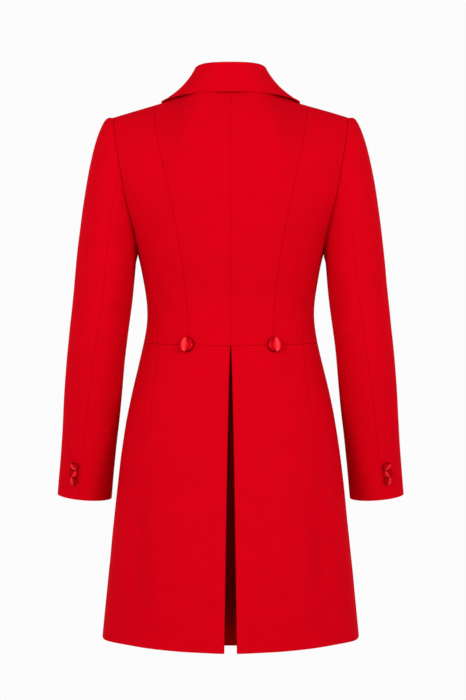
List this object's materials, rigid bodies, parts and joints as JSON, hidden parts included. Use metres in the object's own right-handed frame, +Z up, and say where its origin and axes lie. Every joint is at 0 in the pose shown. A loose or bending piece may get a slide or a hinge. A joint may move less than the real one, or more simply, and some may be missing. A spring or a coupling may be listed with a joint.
{
  "type": "tailcoat",
  "caption": "Fitted red wool tailcoat, hollow as worn: seamed back, waist seam, flared tails with a centre back pleat, cutaway front, notched collar and covered buttons.",
  "frame": {"origin": "the middle of the neck, at the height where the shoulders meet it, where the wearer holds the coat up", "axes": "+Z up along the coat's length, -Y out of the front, +Y out of the back, +X to the wearer's left"},
  "size_m": [0.5738, 0.311, 0.9409],
  "materials": {
    "wool": "smooth matte wool cloth",
    "pleat_wool": "smooth matte wool cloth inside the pleat",
    "satin": "smooth shiny satin cover"
  },
  "bodies": {
    "root": {"back_left": "wool", "back_right": "wool", "side_back_left": "wool", "side_back_right": "wool", "side_front_left": "wool", "side_front_right": "wool", "front_left": "wool", "front_right": "wool", "lapel_left": "wool", "lapel_right": "wool", "skirt_left": "wool", "skirt_right": "wool", "sleeve_top_left": "wool", "sleeve_top_right": "wool", "sleeve_under_left": "wool", "sleeve_under_right": "wool", "collar": "wool", "pleat_underlay": "pleat_wool", "button_waist_left": "satin", "button_waist_right": "satin", "button_front_1": "satin", "button_front_2": "satin", "button_front_3": "satin", "button_cuff_left_1": "satin", "button_cuff_left_2": "satin", "button_cuff_left_3": "satin", "button_cuff_right_1": "satin", "button_cuff_right_2": "satin", "button_cuff_right_3": "satin"}
  },
  "joints": []
}
